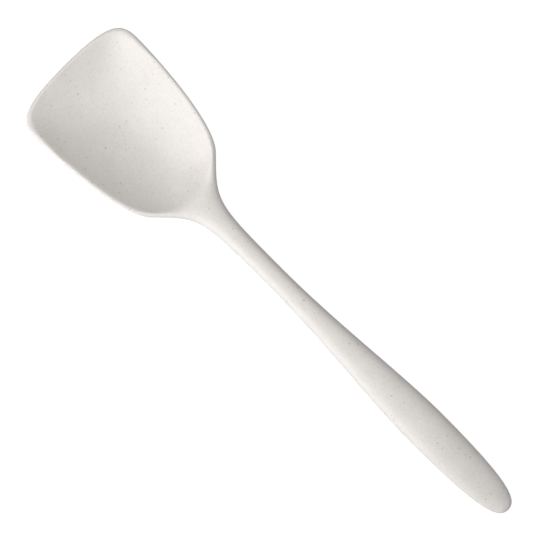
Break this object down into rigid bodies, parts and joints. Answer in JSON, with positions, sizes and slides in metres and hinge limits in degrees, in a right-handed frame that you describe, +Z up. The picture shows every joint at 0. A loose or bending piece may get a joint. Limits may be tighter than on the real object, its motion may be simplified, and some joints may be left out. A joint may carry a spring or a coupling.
{
  "type": "cooking spoon",
  "caption": "Moulded cooking spoon with a broad straight-fronted bowl, a slim arched neck and shaft, and a flat swelling grip with a round butt.",
  "frame": {"origin": "on the table under the middle of the length, with the spoon lying on its back", "axes": "+X from the bowl's front edge to the butt, Y across with Y = 0 the plane of symmetry, +Z up with the hollow of the bowl open upwards"},
  "size_m": [0.3, 0.068, 0.017],
  "materials": {
    "resin": "satin off-white with fine grey-brown specks"
  },
  "bodies": {
    "root": {"bowl": "resin", "neck": "resin", "shaft": "resin", "grip": "resin"}
  },
  "joints": []
}
